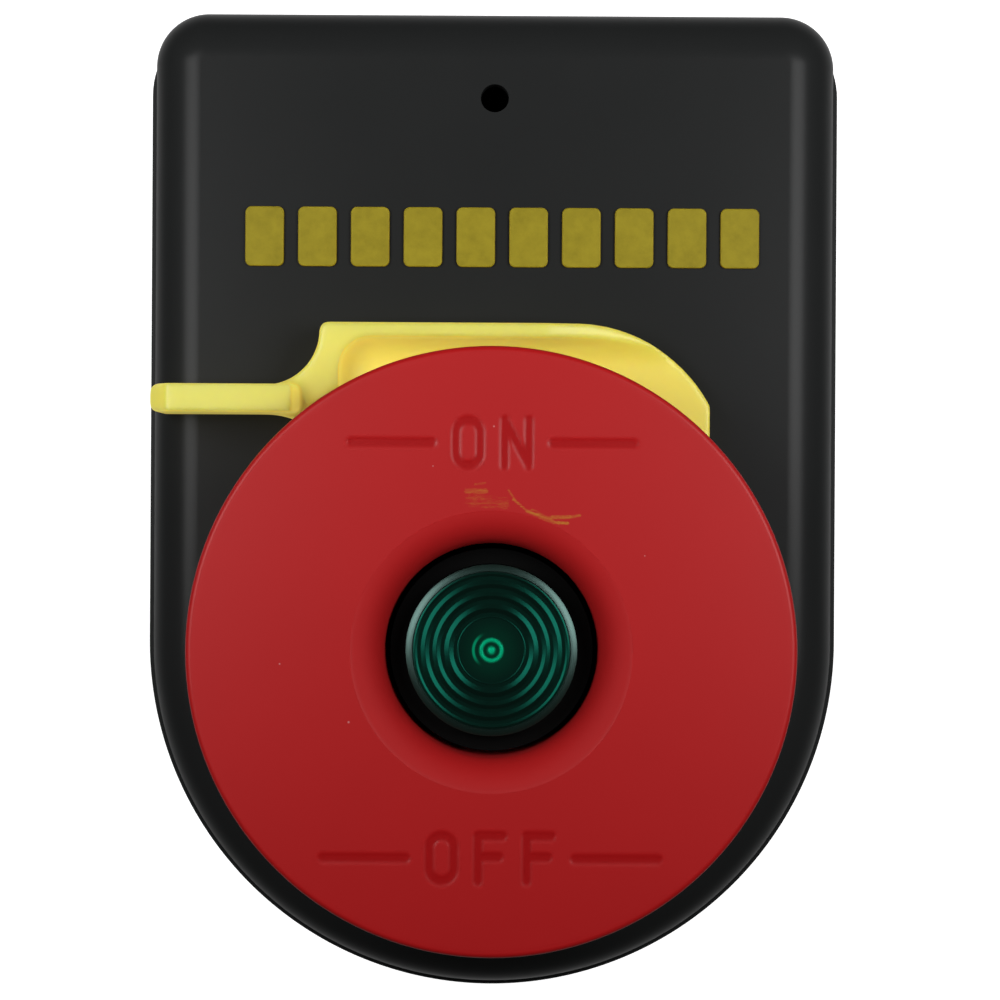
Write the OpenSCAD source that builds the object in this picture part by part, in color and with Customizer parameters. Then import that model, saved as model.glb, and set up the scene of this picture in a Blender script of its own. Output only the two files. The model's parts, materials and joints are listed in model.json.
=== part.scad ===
// Machine starter switch: a pull-on, push-off paddle round a pilot lamp, with a contactor,
// an overload relay and a removable safety key, in a two-piece moulded housing.
// It lies on its flat back. The origin is on the paddle's axis in the plane of the back,
// +X is to the right, +Y towards the flat top edge and +Z out of the front. Millimetres.

/* [Housing] */
// Half width of the housing, which is also the radius of its round lower end
body_r = 51.5; // [50:0.5:64]
// Height of the flat top edge above the paddle's axis
top_y = 94; // [93:0.5:114]
// Depth of the rear box, from the back to its rim
box_depth = 72; // [71.5:0.5:90]
// Thickness of the housing's side walls
wall = 2.6; // [2:0.1:3.2]
// Thickness of the rear box's back wall
floor_t = 3; // [2.6:0.1:4]
// Radius of the rear box's top corners
box_corner_r = 12; // [9:0.5:14]
// Depth of the front cover, from the rim to its face
cover_depth = 8; // [7.8:0.2:10]
// Thickness of the front cover's face
cover_t = 3; // [2.4:0.1:3.6]
// How far the cover's sides stand in from the box's sides
cover_inset = 0.7; // [0.4:0.1:1]
// Radius of the rounded edge round the cover's face
cover_edge_r = 7.4; // [4:0.1:7.6]
// Radius of the cover's top corners
cover_corner_r = 8; // [7.8:0.2:12]
// Height of the reset port above the paddle's axis
port_y = 80.7; // [78:0.1:81]
// Diameter of the reset port
port_d = 4.15; // [3:0.05:5]

/* [Paddle] */
// Diameter of the paddle
paddle_d = 85.8; // [80:0.2:98]
// Height of the paddle's face above the cover's face
paddle_h = 24; // [23:0.5:30]
// Depth of the paddle's skirt
skirt_h = 9; // [6:0.5:9]
// Thickness of the paddle's face and skirt
paddle_t = 2.6; // [2:0.1:3.2]
// Diameter of the hole through the paddle
hole_d = 30.4; // [30.2:0.1:31.4]
// Outer diameter of the paddle's hub tube
hub_d = 37.2; // [36:0.1:38]
// Rounding of the face into the hole
funnel_r = 4.6; // [2:0.1:6]
// Travel of the paddle when it is pulled
pull_travel = 3; // [2:0.5:3]
// Travel of the paddle when it is pushed
push_travel = 4; // [2:0.5:4]

/* [Lamp] */
// Diameter of the lens
lens_d = 24.4; // [20:0.1:25]
// Outer diameter of the lamp tube
lamp_tube_d = 28.8; // [28:0.1:29.4]
// Pitch of the rings under the lens's face
lens_ring_pitch = 1.3; // [1:0.1:2]

/* [Safety key] */
// Thickness of the key's plate
key_t = 4; // [3:0.1:4.4]
// Height of the key's top edge above the paddle's axis
key_top_y = 47; // [45:0.5:50]
// Distance of the key's right tip from the paddle's axis
key_tip_x = 31.8; // [29:0.1:33]
// Reach of the key's finger fin to the left of the axis
fin_reach = 49.5; // [42:0.1:51]
// Height of the fin's middle above the paddle's axis
fin_y = 35.75; // [35:0.05:37]
// Thickness of the fin
fin_t = 4.1; // [3:0.1:5]
// Height of the key's raised rim above its plate
key_rim_h = 5.2; // [2:0.1:5.4]
// Width of the key's raised rim at its top
key_rim_w = 2.2; // [1.6:0.1:3]
// Radius of the hollow between the key's rim and its plate
key_hollow_r = 4; // [1:0.1:4.2]

/* [Starter] */
// Width of the contactor and of the overload relay
device_w = 45; // [42:0.5:46]
// Length of the contactor
contactor_l = 58; // [56:0.5:60]
// Depth of the contactor
contactor_h = 41; // [40.5:0.5:41]
// Travel of the contactor's armature
armature_travel = 4; // [2:0.5:4]
// Travel of the overload relay's reset plunger
reset_travel = 3; // [1:0.5:3]
// Thickness of the steel mounting plate
plate_t = 1.5; // [1:0.1:1.6]

/* [Fixings] */
// Distance across between the threaded inserts in the back
insert_dx = 64; // [62:0.5:68]
// Distance up between the threaded inserts in the back
insert_dy = 80; // [72:0.5:84]
// Diameter of the threaded hole in an insert
insert_hole_d = 4.2; // [3.3:0.1:5]
// Gap between pieces that slide or turn on each other
slide_gap = 0.3; // [0.2:0.05:0.35]
// Radial clearance of a fixed pin or screw in its hole
fit_gap = 0.05; // [0.02:0.01:0.1]

/* [Hidden] */
$fn = 64;

// Heights of the main levels above the back
rim_z = box_depth;
face_z = rim_z + cover_depth;
cover_in_z = face_z - cover_t;
paddle_z = face_z + paddle_h;

// Outline of the cover
cover_r = body_r - cover_inset;

// Screws that hold the cover, driven from the back through deep towers
tower_r = 5.8;
tower_bore_r = 4.2;
tower_top_z = rim_z - 16;
tower_web_t = 4;
cover_screw_r = 1.95;
cover_screw_l = 16;
cover_head_r = 3.8;
cover_head_t = 2.8;
boss_r = 4.2;
tower_places = [
    for (s = [-1, 1]) [s * (body_r - 9), top_y - 9],
    for (s = [-1, 1]) [s * (body_r - 7.9) * cos(32.6), -(body_r - 7.9) * sin(32.6)]
];

// Rebate for the gasket and the tongue that enters the box
rebate_h = 1.2;
tongue_h = 3;
tongue_t = 1.6;
tongue_gap = 0.2;

// Threaded inserts and cable grommets in the back
insert_y = 32;
insert_r = 3.4;
insert_l = 9;
insert_boss_r = 5.5;
insert_places = [for (x = [-1, 1], y = [-1, 1]) [x * insert_dx / 2, insert_y + y * insert_dy / 2]];
grommet_r = 6.4;
grommet_flange_r = 8.6;
grommet_flange_t = 1.1;
grommet_places = [for (s = [-1, 1]) [s * (body_r - 14.5), 32]];

// Mounting plate with the contactor and the overload relay
plate_z = floor_t + 3;
plate_top_z = plate_z + plate_t;
plate_w = device_w + 5;
plate_y0 = -36;
plate_y1 = 87;
contactor_y = 2;
contactor_y0 = contactor_y - contactor_l / 2;
contactor_y1 = contactor_y + contactor_l / 2;
contactor_top_z = plate_top_z + contactor_h;
relay_y0 = contactor_y1 + 9;
relay_y1 = port_y + 4.6;
relay_h = 38.5;
relay_top_z = plate_top_z + relay_h;
plate_screw_r = 1.95;
plate_boss_r = 4;
plate_screw_places = [for (x = [-18, 18], y = [plate_y0 + 4.5, contactor_y1 + 4.5]) [x, y]];
earth_place = [0, plate_y0 + 4.5];

// Magnet of the contactor, cut through its long side
core_w = 12;
core_half_l = 18;
core_base_t = 4.5;
outer_leg_w = 5;
centre_leg_w = 8;
core_z = plate_top_z + 1.5;
core_top_z = core_z + 13;
air_gap = armature_travel + 0.2;
armature_leg = 3.3;
armature_base_t = 3.3;
armature_z = core_top_z + air_gap;
armature_top_z = armature_z + armature_leg + armature_base_t;
bobbin_z = core_z + core_base_t + 0.2;
bobbin_h = 8;
bobbin_flange_t = 1.2;
base_top_z = plate_top_z + 16.5;

// Contacts of the contactor
pole_xs = [-15, -5, 5, 15];
strip_t = 1;
strip_w = 5;
strip_z = armature_top_z + 0.6;
tip_t = 0.6;
bridge_z = strip_z + strip_t + 2 * tip_t + air_gap;
bridge_half_l = 10;
carrier_half_w = 18.5;
carrier_half_l = 5;
carrier_top_z = bridge_z + 5;
terminal_reach = 24;

// Reset plunger and current dial of the relay
plunger_r = 2.5;
plunger_tip_z = cover_in_z - 7;
plunger_collar_z = relay_top_z + 10;
sleeve_r = 3.4;
dial_place = [-12, (relay_y0 + relay_y1) / 2];
dial_shaft_r = 2;
relay_screw_places = [[12, relay_y0 + 8], [12, relay_y0 + 18], [12, relay_y0 + 28]];

// Paddle, hub, collar and the springs that centre the paddle
paddle_r = paddle_d / 2;
hub_r = hub_d / 2;
hole_r = hole_d / 2;
yoke_t = 3;
hub_end_z = face_z - 16;
yoke_z = hub_end_z - yoke_t;
yoke_r = 28;
collar_bore_r = hub_r + 0.4;
collar_r = collar_bore_r + 2.3;
collar_lip_r = collar_r + 2;
collar_lip_t = 2.4;
sleeve_z = hub_end_z + pull_travel + 1;
rib_w = 3;
rib_r = hub_r + 1.6;
pull_spring_r = 25;
push_spring_r = 20;
paddle_spring_wire_r = 0.6;

// Bracket behind the paddle, which hangs from four bosses of the cover
bracket_t = 1.5;
bracket_top_z = yoke_z - 8;
bracket_z = bracket_top_z - bracket_t;
bracket_half = [31, 24];
bracket_boss_r = 3.5;
bracket_screw_r = 1.45;
bracket_places = [for (x = [-27, 27], y = [-20, 20]) [x, y]];
lamp_tube_r = lamp_tube_d / 2;
lens_r = lens_d / 2;
lens_top_z = paddle_z - 5;
lens_h = 11;
lens_t = 2;

// Sliding switch that the paddle works
block_x0 = 31;
block_x1 = 45;
block_half_l = 9;
block_h = 21;
slot_half_w = 4;
slider_half_w = 2.4;
slider_x = [32, 39.5];
arm_x = 35.5;
contact_t = 0.7;
slider_z0 = yoke_z - 3.4;
slider_z1 = hub_end_z + 6.5;

// Safety key
key_z = face_z + slide_gap;
key_top_z = key_z + key_t;
key_rim_z = key_top_z + key_rim_h;
key_slot_r = collar_r + slide_gap;
key_disc_r = 38;
key_arc_r = 22;
key_corner_r = 1.2;
key_fillet_r = key_top_y - key_corner_r - fin_y - fin_t / 2;
key_corner_x = -25.2;
key_hollow_x = key_corner_x + 2.9;
fin_z = key_rim_z + 4.5;
fin_x1 = -28.9;
fin_slope = 1.1;
fin_facet = [2.6, 3];
fin_corner_r = 1.2;
magnet_place = [0, (key_slot_r + key_top_y) / 2 + 2];
magnet_r = 3;
magnet_t = 2.5;

// Half of a slab's cross-section, with its outer front edge rounded
module slab_section(w, h, edge) {
    square([w - edge, h]);
    square([w, h - edge]);
    translate([w - edge, h - edge]) intersection() {
        circle(edge);
        square(edge);
    }
}

// Slab with a flat top edge, round top corners, a half-round lower end and a rounded front edge
module d_slab(r, top, corner, h, edge) {
    rotate([0, 0, 180]) rotate_extrude(angle = 180, $fn = 120) slab_section(r, h, edge);
    translate([0, top - corner, 0]) rotate([90, 0, 0]) linear_extrude(top - corner) {
        slab_section(r, h, edge);
        mirror([1, 0]) slab_section(r, h, edge);
    }
    translate([-(r - corner), top - corner, 0]) rotate([90, 0, 90])
        linear_extrude(2 * (r - corner)) slab_section(corner, h, edge);
    for (side = [0, 1])
        translate([(side ? -1 : 1) * (r - corner), top - corner, 0])
            rotate([0, 0, side * 90]) rotate_extrude(angle = 90) slab_section(corner, h, edge);
}

// The same outline with square edges, from z0 to z1, drawn in by inset
module d_prism(r, top, corner, inset, z0, z1) {
    ri = r - inset;
    ti = top - inset;
    ci = corner - inset;
    translate([0, 0, z0]) linear_extrude(z1 - z0) {
        circle(ri, $fn = 120);
        translate([-ri, 0]) square([2 * ri, ti - ci]);
        translate([-(ri - ci), 0]) square([2 * (ri - ci), ti]);
        for (s = [-1, 1]) translate([s * (ri - ci), ti - ci]) circle(ci);
    }
}

// Upright cylinder from z0 to z1 at a place in the plane
module post(place, r, z0, z1) {
    translate([place[0], place[1], z0]) cylinder(r = r, h = z1 - z0);
}

// Block between two corners
module block(low, high) {
    translate(low) cube([high[0] - low[0], high[1] - low[1], high[2] - low[2]]);
}

// Rectangle of half sizes hx and hy with round corners
module round_rect(hx, hy, r) {
    square([2 * hx, 2 * (hy - r)], center = true);
    square([2 * (hx - r), 2 * hy], center = true);
    for (x = [-1, 1], y = [-1, 1]) translate([x * (hx - r), y * (hy - r)]) circle(r);
}

// Pan-head screw that points up (dir 1) or down (dir -1), with its head's seat at z
module screw(place, z, shank_r, shank_l, head_r, head_t, dir = 1) {
    translate([place[0], place[1], z]) mirror([0, 0, dir > 0 ? 0 : 1]) {
        cylinder(r = shank_r, h = shank_l);
        difference() {
            translate([0, 0, -head_t]) cylinder(r = head_r, h = head_t);
            for (a = [0, 90]) rotate([0, 0, a])
                translate([-head_r * 0.62, -0.4, -head_t - 1]) cube([head_r * 1.24, 0.8, 2]);
        }
    }
}

// Coil spring between z0 and z1: one tube swept along a helix, with dead ends
function coil_point(r, z0, z1, turns, t) =
    let (rise = min(1, max(0, (t * turns - 0.5) / (turns - 1))))
    [r * cos(360 * turns * t), r * sin(360 * turns * t), z0 + (z1 - z0) * rise];
module coil(r, wire_r, z0, z1, turns, steps = 16, sides = 8) {
    n = turns * steps;
    pts = [for (i = [0:n], k = [0:sides - 1])
        let (a = 360 * i / steps, b = 360 * k / sides,
             c = coil_point(r, z0 + wire_r, z1 - wire_r, turns, i / n))
        c + wire_r * [cos(b) * cos(a), cos(b) * sin(a), sin(b)]];
    walls = [for (i = [0:n - 1], k = [0:sides - 1], half = [0, 1])
        let (m = (k + 1) % sides, low = i * sides, high = low + sides)
        half == 0 ? [low + k, high + k, high + m] : [low + k, high + m, low + m]];
    polyhedron(pts, concat([[for (k = [0:sides - 1]) k]], walls,
        [[for (k = [sides - 1:-1:0]) n * sides + k]]), convexity = 10);
}

module rear_box() {
    color("#1d1f20") difference() {
        union() {
            difference() {
                d_prism(body_r, top_y, box_corner_r, 0, 0, rim_z);
                d_prism(body_r, top_y, box_corner_r, wall, floor_t, rim_z + 1);
                d_prism(body_r, top_y, box_corner_r, wall / 2, rim_z - rebate_h, rim_z + 1);
            }
            for (p = tower_places) post(p, tower_r, floor_t - 1, tower_top_z);
            for (p = insert_places) post(p, insert_boss_r, floor_t - 1, insert_l + 2);
            for (p = plate_screw_places) post(p, plate_boss_r, floor_t - 1, plate_z);
            post(earth_place, plate_boss_r, floor_t - 1, plate_z);
        }
        for (p = tower_places) {
            post(p, tower_bore_r, -1, tower_top_z - tower_web_t);
            post(p, cover_screw_r + 0.25, 0, tower_top_z + 1);
        }
        for (p = insert_places) post(p, insert_r + fit_gap, -1, insert_l);
        for (p = concat(plate_screw_places, [earth_place]))
            post(p, plate_screw_r + fit_gap, floor_t - 2, plate_z + 1);
        for (p = grommet_places) {
            post(p, grommet_r + fit_gap, -1, floor_t + 1);
            post(p, grommet_flange_r + 0.2, -1, grommet_flange_t + 0.2);
        }
    }
}

module front_cover() {
    color("#26292a") difference() {
        union() {
            difference() {
                translate([0, 0, rim_z]) d_slab(cover_r, top_y, cover_corner_r, cover_depth, cover_edge_r);
                translate([0, 0, rim_z - 1]) d_slab(cover_r - wall, top_y - wall,
                    cover_corner_r - wall, cover_depth - cover_t + 1, cover_edge_r - wall);
            }
            difference() {
                d_prism(body_r, top_y, box_corner_r, wall + tongue_gap, rim_z - tongue_h, rim_z + 2);
                d_prism(body_r, top_y, box_corner_r, wall + tongue_gap + tongue_t,
                    rim_z - tongue_h - 1, rim_z + 3);
            }
            post([0, 0], collar_r, sleeve_z, face_z + 1);
            post([0, 0], collar_r, face_z, key_top_z + slide_gap + collar_lip_t);
            post([0, 0], collar_lip_r, key_top_z + slide_gap, key_top_z + slide_gap + collar_lip_t);
            for (p = tower_places) post(p, boss_r, tower_top_z, cover_in_z + 1);
            for (p = bracket_places) post(p, bracket_boss_r, bracket_top_z, cover_in_z + 1);
            post([0, port_y], sleeve_r + 1.4, cover_in_z - 11, cover_in_z + 1);
        }
        post([0, 0], collar_bore_r, sleeve_z - 1, paddle_z);
        block([-rib_r - slide_gap, -rib_w / 2 - slide_gap, sleeve_z - 1],
            [0, rib_w / 2 + slide_gap, paddle_z]);
        post([0, port_y], port_d / 2, cover_in_z - 1, face_z + 1);
        post([0, port_y], sleeve_r, cover_in_z - 12, cover_in_z);
        for (p = tower_places) post(p, cover_screw_r + fit_gap, tower_top_z - 1, tower_top_z + 14);
        for (p = bracket_places) post(p, bracket_screw_r + fit_gap, bracket_top_z - 1, bracket_top_z + 9);
    }
}

module cover_gasket() {
    color("#3a3c3d") difference() {
        d_prism(body_r, top_y, box_corner_r, wall / 2 + fit_gap, rim_z - rebate_h, rim_z);
        d_prism(body_r, top_y, box_corner_r, wall, rim_z - rebate_h - 1, rim_z + 1);
    }
}

module cover_screws() {
    color("silver") for (p = tower_places)
        screw(p, tower_top_z - tower_web_t, cover_screw_r, cover_screw_l, cover_head_r, cover_head_t);
}

module mounting_inserts() {
    color("goldenrod") for (p = insert_places) difference() {
        post(p, insert_r, 0, insert_l);
        post(p, insert_hole_d / 2, -1, insert_l + 1);
    }
}

module cable_grommets() {
    color("#2b2b2b") for (p = grommet_places) translate([p[0], p[1], 0])
        rotate_extrude() {
            translate([0, 0.1]) square([grommet_flange_r, grommet_flange_t]);
            translate([grommet_r - 2, 0.1]) square([2, floor_t + 1.5]);
            translate([grommet_r - 2, floor_t]) square([3.4, 1.6]);
        }
}

module mounting_plate() {
    color("lightgray") difference() {
        block([-plate_w / 2, plate_y0, plate_z], [plate_w / 2, plate_y1, plate_top_z]);
        for (p = concat(plate_screw_places, [earth_place]))
            post(p, plate_screw_r + 0.25, plate_z - 1, plate_top_z + 1);
    }
}

module plate_screws() {
    color("silver") for (p = plate_screw_places)
        screw(p, plate_top_z, plate_screw_r, plate_t + 3, 3.4, 2.4, -1);
}

module earth_screw() {
    color("goldenrod") screw(earth_place, plate_top_z, plate_screw_r, plate_t + 3, 3.4, 2.4, -1);
}

module contactor_base() {
    w = device_w / 2;
    color("#3b3f42") difference() {
        block([-w, contactor_y0, plate_top_z], [w, contactor_y1, base_top_z]);
        block([-w + 4, contactor_y0 + 5, core_z], [w - 4, contactor_y1 - 5, base_top_z + 1]);
        for (s = [-1, 1], y = [-14, 18])
            block([s * w - 1.5, y - 4, plate_top_z + 5], [s * w + 1.5, y + 4, base_top_z - 5]);
    }
}

// E-shaped lamination stack, legs up, with its base on z = 0
module e_stack(base_t, leg) {
    translate([-core_w / 2, contactor_y, 0]) rotate([90, 0, 90]) linear_extrude(core_w) {
        translate([-core_half_l, 0]) square([2 * core_half_l, base_t]);
        translate([-core_half_l, 0]) square([outer_leg_w, base_t + leg]);
        translate([core_half_l - outer_leg_w, 0]) square([outer_leg_w, base_t + leg]);
        translate([-centre_leg_w / 2, 0]) square([centre_leg_w, base_t + leg]);
    }
}

module magnet_core() {
    color("slategray") translate([0, 0, core_z])
        e_stack(core_base_t, core_top_z - core_z - core_base_t);
}

module coil_bobbin() {
    hx = core_w / 2 + 0.3;
    hy = centre_leg_w / 2 + 0.3;
    color("ivory") translate([0, contactor_y, bobbin_z]) difference() {
        union() {
            linear_extrude(bobbin_h) square([2 * hx + 2.4, 2 * hy + 2.4], center = true);
            for (z = [0, bobbin_h - bobbin_flange_t]) translate([0, 0, z])
                linear_extrude(bobbin_flange_t)
                    round_rect(hx + 11, core_half_l - outer_leg_w - 0.4, 1.5);
        }
        translate([0, 0, -1]) linear_extrude(bobbin_h + 2) square([2 * hx, 2 * hy], center = true);
    }
}

module coil_winding() {
    hx = core_w / 2 + 0.3;
    hy = centre_leg_w / 2 + 0.3;
    color("chocolate") translate([0, contactor_y, bobbin_z + bobbin_flange_t])
        linear_extrude(bobbin_h - 2 * bobbin_flange_t) difference() {
            round_rect(hx + 7.2, core_half_l - outer_leg_w - 1.2, 2);
            square([2 * hx + 2.4, 2 * hy + 2.4], center = true);
        }
}

module armature() {
    color("slategray") translate([0, 0, armature_top_z]) mirror([0, 0, 1])
        e_stack(armature_base_t, armature_leg);
}

module contact_carrier() {
    color("#e8e4d8") difference() {
        union() {
            block([-carrier_half_w, contactor_y - carrier_half_l, armature_top_z + 1.6],
                [carrier_half_w, contactor_y + carrier_half_l, carrier_top_z]);
            block([-core_w / 2, contactor_y - carrier_half_l, armature_top_z],
                [core_w / 2, contactor_y + carrier_half_l, armature_top_z + 2]);
        }
        for (x = pole_xs)
            block([x - 2.2, contactor_y - carrier_half_l - 1, bridge_z],
                [x + 2.2, contactor_y + carrier_half_l + 1, bridge_z + 3]);
    }
}

module contact_bridges() {
    color("darkgoldenrod") for (x = pole_xs) {
        block([x - 2, contactor_y - bridge_half_l, bridge_z],
            [x + 2, contactor_y + bridge_half_l, bridge_z + 1]);
        for (s = [-1, 1]) post([x, contactor_y + s * (bridge_half_l - 2)], 1.5, bridge_z - tip_t, bridge_z);
    }
}

module armature_springs() {
    color("silver") for (s = [-1, 1]) translate([s * 14.5, contactor_y, 0])
        coil(2.2, 0.35, core_top_z - 0.3, armature_top_z + 1.6, 5, 10, 6);
}

module contactor_cover() {
    w = device_w / 2;
    ledge_y = core_half_l + 0.6;
    color("#4a4f52") difference() {
        block([-w, contactor_y0, base_top_z], [w, contactor_y1, contactor_top_z]);
        block([-w + 2, contactor_y - ledge_y, base_top_z - 1],
            [w - 2, contactor_y + ledge_y, contactor_top_z - 2]);
        for (i = [0:3]) {
            x = pole_xs[i];
            for (s = [-1, 1])
                block([x - 4.3, contactor_y + (s > 0 ? 6 : -contactor_l / 2 - 1), strip_z],
                    [x + 4.3, contactor_y + (s > 0 ? contactor_l / 2 + 1 : -6), contactor_top_z - 2]);
            for (s = [-1, 1])
                post([x, contactor_y + s * terminal_reach], 2.9, contactor_top_z - 3, contactor_top_z + 1);
        }
        block([-5, contactor_y - 3, contactor_top_z - 3], [5, contactor_y + 3, contactor_top_z + 1]);
        for (s = [-1, 1], p = pole_xs)
            post([p, contactor_y + s * terminal_reach], 1.5 + fit_gap, strip_z - 5, strip_z + 1);
    }
}

module fixed_contacts() {
    color("darkgoldenrod") for (x = pole_xs, s = [-1, 1])
        translate([x, contactor_y, 0]) mirror([0, s > 0 ? 0 : 1, 0]) {
            difference() {
                block([-strip_w / 2, 6.5, strip_z], [strip_w / 2, contactor_l / 2 - 1, strip_z + strip_t]);
                post([0, terminal_reach], 1.5 + fit_gap, strip_z - 1, strip_z + strip_t + 1);
            }
            post([0, bridge_half_l - 2], 1.5, strip_z + strip_t, strip_z + strip_t + tip_t);
        }
}

module terminal_screws() {
    color("silver") for (x = pole_xs, s = [-1, 1])
        screw([x, contactor_y + s * terminal_reach], strip_z + strip_t, 1.5, 5, 2.6, 2.2, -1);
}

module link_pins() {
    color("peru") for (x = [-10, 0, 10])
        translate([x, contactor_y1, plate_top_z + 22]) rotate([-90, 0, 0])
            cylinder(r = 1.3, h = relay_y0 - contactor_y1);
}

module overload_relay() {
    w = device_w / 2;
    color("#43484b") difference() {
        union() {
            block([-w, relay_y0, plate_top_z], [w, relay_y1, relay_top_z - 8]);
            block([-w + 2, relay_y0 + 3, relay_top_z - 9], [w - 2, relay_y1, relay_top_z]);
        }
        post([0, port_y], plunger_r + fit_gap, plate_top_z + 20, relay_top_z + 1);
        post(dial_place, dial_shaft_r + fit_gap, relay_top_z - 6, relay_top_z + 1);
        for (p = relay_screw_places) post(p, 1.5 + fit_gap, relay_top_z - 6, relay_top_z + 1);
        for (y = [relay_y0 + 12:4:relay_y1 - 12]) for (s = [-1, 1])
            block([s * w - 1, y - 1, plate_top_z + 6], [s * w + 1, y + 1, relay_top_z - 14]);
    }
}

module relay_screws() {
    color("silver") for (p = relay_screw_places) screw(p, relay_top_z, 1.5, 5, 2.8, 2, -1);
}

module current_dial() {
    color("orange") difference() {
        union() {
            post(dial_place, dial_shaft_r, relay_top_z - 4, relay_top_z + 1);
            post(dial_place, 5, relay_top_z + slide_gap, relay_top_z + 3);
        }
        block([dial_place[0] - 3.6, dial_place[1] - 0.5, relay_top_z + 1.6],
            [dial_place[0] + 3.6, dial_place[1] + 0.5, relay_top_z + 4]);
        block([dial_place[0] + 2.4, dial_place[1] - 1.2, relay_top_z + 1.6],
            [dial_place[0] + 4.2, dial_place[1] + 1.2, relay_top_z + 4]);
    }
}

module reset_plunger() {
    color("#202020") translate([0, port_y, 0]) {
        translate([0, 0, relay_top_z - 12]) cylinder(r = plunger_r, h = plunger_tip_z - relay_top_z + 12);
        translate([0, 0, plunger_collar_z]) cylinder(r = 4, h = 2);
        translate([0, 0, plunger_tip_z - 6]) cylinder(r = 3, h = 6);
    }
}

module reset_spring() {
    color("silver") translate([0, port_y, 0]) coil(3.3, 0.35, relay_top_z, plunger_collar_z, 6, 10, 6);
}

module mechanism_bracket() {
    color("lightgray") difference() {
        union() {
            translate([0, 0, bracket_z]) linear_extrude(bracket_t)
                round_rect(bracket_half[0], bracket_half[1], 4);
            block([0, -block_half_l - 1, bracket_z], [block_x1 + 1, block_half_l + 1, bracket_top_z]);
        }
        post([0, 0], 8, bracket_z - 1, bracket_top_z + 1);
        for (p = bracket_places) post(p, bracket_screw_r + 0.25, bracket_z - 1, bracket_top_z + 1);
    }
}

module bracket_screws() {
    color("silver") for (p = bracket_places)
        screw(p, bracket_z, bracket_screw_r, bracket_t + 8, 2.7, 2.1);
}

module lamp_tube() {
    bore_r = lens_r - 1.4;
    color("#141414") translate([0, 0, bracket_top_z]) rotate_extrude() {
        h = lens_top_z - lens_h - bracket_top_z;
        translate([bore_r, 0]) square([lamp_tube_r + 1.4 - bore_r, 2]);
        translate([bore_r, 0]) square([lamp_tube_r - bore_r, h]);
        translate([lens_r + fit_gap, 0]) square([lamp_tube_r - lens_r - fit_gap, h + lens_h - 3]);
        translate([bore_r - 1, 6]) square([2, 1.5]);
    }
}

module lamp_board() {
    color("darkgreen") post([0, 0], lens_r - 1.4, bracket_top_z + 7.5, bracket_top_z + 9.1);
}

module lamp_led() {
    color("palegreen") translate([0, 0, bracket_top_z + 9.1]) {
        cylinder(r = 2.9, h = 1);
        cylinder(r = 2.5, h = 6);
        translate([0, 0, 6]) sphere(r = 2.5);
    }
}

module lens() {
    z0 = lens_top_z - lens_h;
    color("seagreen") rotate_extrude($fn = 96) difference() {
        translate([0, z0]) slab_section(lens_r, lens_h, 1.2);
        translate([0, z0 - 1]) square([lens_r - 1.4, lens_h - lens_t + 1]);
        for (k = [0:6])
            let (a = 1.5 + k * lens_ring_pitch)
            polygon([[a, z0 + lens_h - lens_t - 0.01],
                [a + lens_ring_pitch * 0.75, z0 + lens_h - lens_t - 0.01],
                [a + lens_ring_pitch * 0.75, z0 + lens_h - lens_t + 0.8]]);
    }
}

module paddle() {
    edge = 0.8;
    color("#b02024") {
        rotate_extrude($fn = 160) difference() {
            union() {
                translate([0, paddle_z - paddle_t - 4]) slab_section(paddle_r, paddle_t + 4, edge);
                translate([0, paddle_z - skirt_h]) square([paddle_r, skirt_h - edge]);
                translate([0, hub_end_z]) square([hub_r, paddle_z - hub_end_z - edge]);
            }
            translate([hub_r, hub_end_z - 1]) square([paddle_r - paddle_t - hub_r,
                paddle_z - paddle_t - hub_end_z + 1]);
            translate([hub_r, hub_end_z - 1]) square([paddle_r, paddle_z - skirt_h - hub_end_z + 1]);
            translate([-1, hub_end_z - 1]) square([hole_r + 1, paddle_z - hub_end_z + 2]);
            difference() {
                translate([hole_r - 1, paddle_z - funnel_r]) square([funnel_r + 1, funnel_r + 1]);
                translate([hole_r + funnel_r, paddle_z - funnel_r]) circle(funnel_r);
            }
        }
        for (i = [0:5]) rotate([0, 0, 30 + 60 * i])
            block([hub_r - 1, -0.8, paddle_z - paddle_t - 3.4],
                [paddle_r - paddle_t + 1, 0.8, paddle_z - paddle_t + 0.5]);
        difference() {
            block([-rib_r, -rib_w / 2, hub_end_z + 2], [-hole_r - 1.5, rib_w / 2, paddle_z - paddle_t]);
            post([0, 0], hole_r + 1, hub_end_z, paddle_z);
        }
        for (a = [90, 210, 330]) rotate([0, 0, a])
            block([hub_r - 1.5, -1.5, hub_end_z], [hub_r - 0.2, 1.5, hub_end_z + 1]);
    }
}

module paddle_yoke() {
    color("silver") difference() {
        union() {
            post([0, 0], yoke_r, yoke_z, hub_end_z);
            block([0, -slider_half_w, yoke_z], [arm_x, slider_half_w, hub_end_z]);
        }
        post([0, 0], hole_r + 0.2, yoke_z - 1, hub_end_z + 1);
        for (a = [30, 150, 270]) rotate([0, 0, a])
            post([(hub_r + hole_r) / 2, 0], 1 + fit_gap, yoke_z - 1, hub_end_z + 1);
    }
}

module yoke_screws() {
    color("gray") for (a = [30, 150, 270]) rotate([0, 0, a])
        screw([(hub_r + hole_r) / 2, 0], yoke_z, 1, yoke_t, 1.6, 1);
}

module pull_spring() {
    color("silver") coil(pull_spring_r, paddle_spring_wire_r, hub_end_z, cover_in_z, 4, 24, 6);
}

module push_spring() {
    color("silver") coil(push_spring_r, paddle_spring_wire_r, bracket_top_z, yoke_z, 3, 24, 6);
}

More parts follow.
